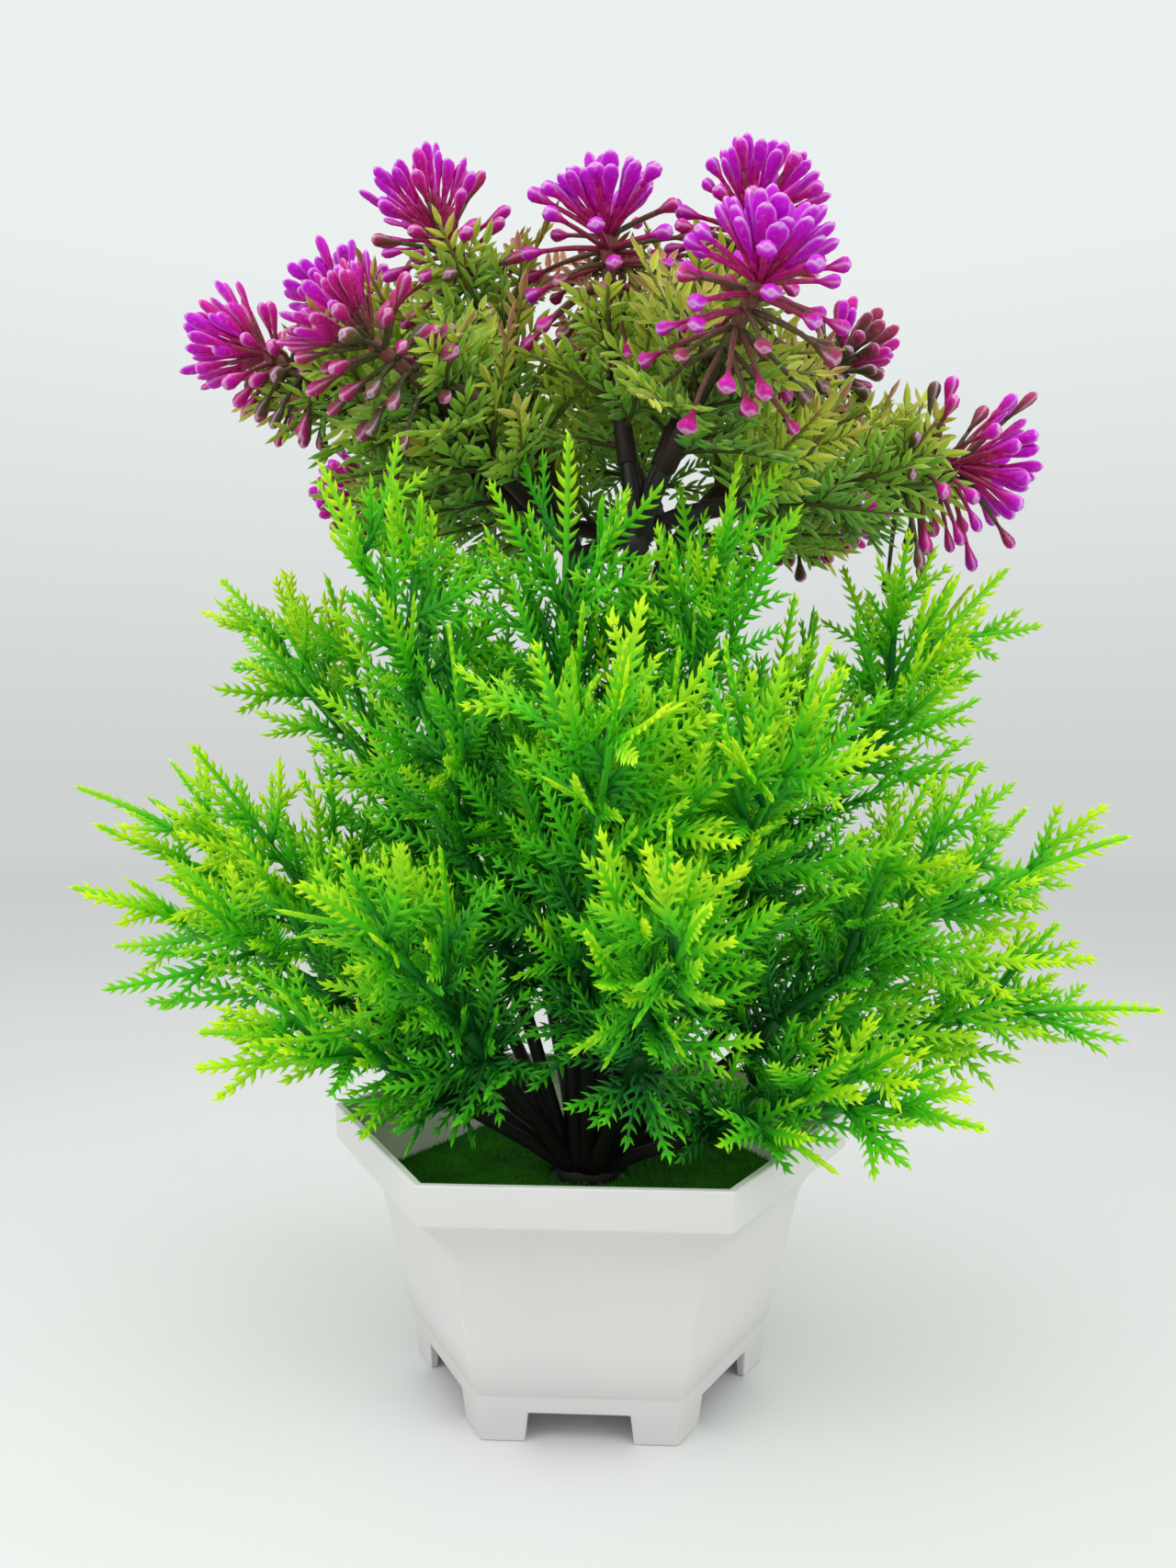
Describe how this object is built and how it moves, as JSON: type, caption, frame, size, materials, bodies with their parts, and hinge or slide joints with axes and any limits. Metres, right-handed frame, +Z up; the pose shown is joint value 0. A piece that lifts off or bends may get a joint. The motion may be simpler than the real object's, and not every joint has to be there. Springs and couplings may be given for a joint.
{
  "type": "artificial tabletop tree",
  "caption": "Small artificial tree in a white hexagonal footed pot: fern sprays below, twisted dark trunk, and a round crown of club-petalled flower heads.",
  "frame": {"origin": "on the table, under the middle of the pot", "axes": "+Z up along the trunk, -Y is the front, where one flat side of the pot faces"},
  "size_m": [0.2436, 0.1834, 0.2756],
  "materials": {
    "pot_plastic": "satin white",
    "filler_plaster": "cast, matte",
    "moss_flock": "flocked",
    "stem_plastic": "satin, with moulding seams",
    "fern_plastic": "satin, yellow-green at the tips",
    "leaf_plastic": "satin, frosted",
    "flower_plastic": "satin, frosted edges"
  },
  "bodies": {
    "stand": {"pot": "pot_plastic", "filler_block": "filler_plaster", "moss_mat": "moss_flock", "root_hub": "stem_plastic", "trunk_stem_back": "stem_plastic", "trunk_stem_left": "stem_plastic", "trunk_stem_right": "stem_plastic"},
    "fern_spray_01": {"fern_spray_01": "fern_plastic"},
    "fern_spray_02": {"fern_spray_02": "fern_plastic"},
    "fern_spray_03": {"fern_spray_03": "fern_plastic"},
    "fern_spray_04": {"fern_spray_04": "fern_plastic"},
    "fern_spray_05": {"fern_spray_05": "fern_plastic"},
    "fern_spray_06": {"fern_spray_06": "fern_plastic"},
    "fern_spray_07": {"fern_spray_07": "fern_plastic"},
    "fern_spray_08": {"fern_spray_08": "fern_plastic"},
    "fern_spray_09": {"fern_spray_09": "fern_plastic"},
    "fern_spray_10": {"fern_spray_10": "fern_plastic"},
    "fern_spray_11": {"fern_spray_11": "fern_plastic"},
    "fern_spray_12": {"fern_spray_12": "fern_plastic"},
    "fern_spray_13": {"fern_spray_13": "fern_plastic"},
    "fern_spray_14": {"fern_spray_14": "fern_plastic"},
    "fern_spray_15": {"fern_spray_15": "fern_plastic"},
    "fern_spray_16": {"fern_spray_16": "fern_plastic"},
    "fern_spray_17": {"fern_spray_17": "fern_plastic"},
    "fern_spray_18": {"fern_spray_18": "fern_plastic"},
    "fern_spray_19": {"fern_spray_19": "fern_plastic"},
    "fern_spray_20": {"fern_spray_20": "fern_plastic"},
    "branch_01": {"flower_branch_01": "leaf_plastic", "flower_head_01": "flower_plastic"},
    "branch_02": {"flower_branch_02": "leaf_plastic", "flower_head_02": "flower_plastic"},
    "branch_03": {"flower_branch_03": "leaf_plastic", "flower_head_03": "flower_plastic"},
    "branch_04": {"flower_branch_04": "leaf_plastic", "flower_head_04": "flower_plastic"},
    "branch_05": {"flower_branch_05": "leaf_plastic", "flower_head_05": "flower_plastic"},
    "branch_06": {"flower_branch_06": "leaf_plastic", "flower_head_06": "flower_plastic"},
    "branch_07": {"flower_branch_07": "leaf_plastic", "flower_head_07": "flower_plastic"},
    "branch_08": {"flower_branch_08": "leaf_plastic", "flower_head_08": "flower_plastic"},
    "branch_09": {"flower_branch_09": "leaf_plastic", "flower_head_09": "flower_plastic"},
    "branch_10": {"flower_branch_10": "leaf_plastic", "flower_head_10": "flower_plastic"},
    "branch_11": {"flower_branch_11": "leaf_plastic", "flower_head_11": "flower_plastic"},
    "branch_12": {"flower_branch_12": "leaf_plastic", "flower_head_12": "flower_plastic"}
  },
  "joints": [
    {"name": "spray_01_swivel", "type": "hinge", "parent": "stand", "child": "fern_spray_01", "pos_m": [-0.03244, -0.00809, 0.06676], "axis": [-0.7663, -0.1911, 0.6134], "range_deg": [-20, 20]},
    {"name": "spray_02_swivel", "type": "hinge", "parent": "stand", "child": "fern_spray_02", "pos_m": [-0.034, 0.00357, 0.07167], "axis": [-0.7346, 0.0772, 0.6741], "range_deg": [-20, 20]},
    {"name": "spray_03_swivel", "type": "hinge", "parent": "stand", "child": "fern_spray_03", "pos_m": [-0.02495, 0.00811, 0.08403], "axis": [-0.4701, 0.1528, 0.8693], "range_deg": [-20, 20]},
    {"name": "spray_04_swivel", "type": "hinge", "parent": "stand", "child": "fern_spray_04", "pos_m": [-0.02363, -0.01655, 0.05981], "axis": [-0.6828, -0.4781, 0.5524], "range_deg": [-20, 20]},
    {"name": "spray_05_swivel", "type": "hinge", "parent": "stand", "child": "fern_spray_05", "pos_m": [-0.01768, -0.02107, 0.06951], "axis": [-0.4255, -0.5071, 0.7495], "range_deg": [-20, 20]},
    {"name": "spray_06_swivel", "type": "hinge", "parent": "stand", "child": "fern_spray_06", "pos_m": [-0.01475, -0.01071, 0.08466], "axis": [-0.2737, -0.1988, 0.941], "range_deg": [-20, 20]},
    {"name": "spray_07_swivel", "type": "hinge", "parent": "stand", "child": "fern_spray_07", "pos_m": [0.00077, -0.02194, 0.07505], "axis": [0.0169, -0.4833, 0.8753], "range_deg": [-20, 20]},
    {"name": "spray_08_swivel", "type": "hinge", "parent": "stand", "child": "fern_spray_08", "pos_m": [0.00957, -0.02947, 0.06921], "axis": [0.2239, -0.689, 0.6894], "range_deg": [-20, 20]},
    {"name": "spray_09_swivel", "type": "hinge", "parent": "stand", "child": "fern_spray_09", "pos_m": [0.01537, -0.01897, 0.07609], "axis": [0.3312, -0.409, 0.8503], "range_deg": [-20, 20]},
    {"name": "spray_10_swivel", "type": "hinge", "parent": "stand", "child": "fern_spray_10", "pos_m": [0.02415, -0.01955, 0.05634], "axis": [0.7083, -0.5735, 0.4116], "range_deg": [-20, 20]},
    {"name": "spray_11_swivel", "type": "hinge", "parent": "stand", "child": "fern_spray_11", "pos_m": [0.03609, 0, 0.05964], "axis": [0.9045, 0, 0.4264], "range_deg": [-20, 20]},
    {"name": "spray_12_swivel", "type": "hinge", "parent": "stand", "child": "fern_spray_12", "pos_m": [0.03211, -0.0086, 0.06983], "axis": [0.723, -0.1937, 0.6632], "range_deg": [-20, 20]},
    {"name": "spray_13_swivel", "type": "hinge", "parent": "stand", "child": "fern_spray_13", "pos_m": [0.0262, -0.00137, 0.08403], "axis": [0.4935, -0.0259, 0.8693], "range_deg": [-20, 20]},
    {"name": "spray_14_swivel", "type": "hinge", "parent": "stand", "child": "fern_spray_14", "pos_m": [-0.00394, -0.01211, 0.08384], "axis": [-0.0377, -0.1162, 0.9925], "range_deg": [-20, 20]},
    {"name": "spray_15_swivel", "type": "hinge", "parent": "stand", "child": "fern_spray_15", "pos_m": [0.01163, -0.00909, 0.08348], "axis": [0.1762, -0.1377, 0.9747], "range_deg": [-20, 20]},
    {"name": "spray_16_swivel", "type": "hinge", "parent": "stand", "child": "fern_spray_16", "pos_m": [0.03011, 0.01601, 0.06896], "axis": [0.68, 0.3616, 0.6378], "range_deg": [-20, 20]},
    {"name": "spray_17_swivel", "type": "hinge", "parent": "stand", "child": "fern_spray_17", "pos_m": [0.00443, 0.03152, 0.06842], "axis": [0.104, 0.7398, 0.6647], "range_deg": [-20, 20]},
    {"name": "spray_18_swivel", "type": "hinge", "parent": "stand", "child": "fern_spray_18", "pos_m": [-0.02516, 0.01965, 0.06546], "axis": [-0.6211, 0.4852, 0.6155], "range_deg": [-20, 20]},
    {"name": "spray_19_swivel", "type": "hinge", "parent": "stand", "child": "fern_spray_19", "pos_m": [-0.01084, 0.02039, 0.07889], "axis": [-0.223, 0.4194, 0.88], "range_deg": [-20, 20]},
    {"name": "spray_20_swivel", "type": "hinge", "parent": "stand", "child": "fern_spray_20", "pos_m": [0.01166, 0.01728, 0.08394], "axis": [0.2205, 0.3269, 0.919], "range_deg": [-20, 20]},
    {"name": "branch_01_swivel", "type": "hinge", "parent": "stand", "child": "branch_01", "pos_m": [-0.0151, 0.00285, 0.19162], "axis": [-0.8434, -0.1076, 0.5264], "range_deg": [-20, 20]},
    {"name": "branch_02_swivel", "type": "hinge", "parent": "stand", "child": "branch_02", "pos_m": [-0.01256, -0.0025, 0.19224], "axis": [-0.6288, -0.5163, 0.5815], "range_deg": [-20, 20]},
    {"name": "branch_03_swivel", "type": "hinge", "parent": "stand", "child": "branch_03", "pos_m": [-0.0085, 0.00316, 0.19626], "axis": [-0.3583, -0.0864, 0.9296], "range_deg": [-20, 20]},
    {"name": "branch_04_swivel", "type": "hinge", "parent": "stand", "child": "branch_04", "pos_m": [0.00932, -0.01214, 0.19709], "axis": [-0.1428, 0.078, 0.9867], "range_deg": [-20, 20]},
    {"name": "branch_05_swivel", "type": "hinge", "parent": "stand", "child": "branch_05", "pos_m": [0.01582, -0.01186, 0.19645], "axis": [0.3467, 0.0843, 0.9342], "range_deg": [-20, 20]},
    {"name": "branch_06_swivel", "type": "hinge", "parent": "stand", "child": "branch_06", "pos_m": [0.01679, -0.02072, 0.19352], "axis": [0.4247, -0.5629, 0.7091], "range_deg": [-20, 20]},
    {"name": "branch_07_swivel", "type": "hinge", "parent": "stand", "child": "branch_07", "pos_m": [0.025, -0.00973, 0.18804], "axis": [0.9479, 0.2418, 0.2074], "range_deg": [-20, 20]},
    {"name": "branch_08_swivel", "type": "hinge", "parent": "stand", "child": "branch_08", "pos_m": [0.00518, 0.01379, 0.18853], "axis": [-0.9136, 0.3315, 0.2354], "range_deg": [-20, 20]},
    {"name": "branch_09_swivel", "type": "hinge", "parent": "stand", "child": "branch_09", "pos_m": [0.02905, 0.01743, 0.1878], "axis": [0.7484, 0.6344, 0.1937], "range_deg": [-20, 20]},
    {"name": "branch_10_swivel", "type": "hinge", "parent": "stand", "child": "branch_10", "pos_m": [-0.01225, 0.00739, 0.1939], "axis": [-0.6455, 0.2347, 0.7268], "range_deg": [-20, 20]},
    {"name": "branch_11_swivel", "type": "hinge", "parent": "stand", "child": "branch_11", "pos_m": [0.01531, 0.01656, 0.19457], "axis": [-0.2545, 0.5863, 0.7691], "range_deg": [-20, 20]},
    {"name": "branch_12_swivel", "type": "hinge", "parent": "stand", "child": "branch_12", "pos_m": [0.02686, 0.01237, 0.19399], "axis": [0.6174, 0.2773, 0.7361], "range_deg": [-20, 20]}
  ]
}
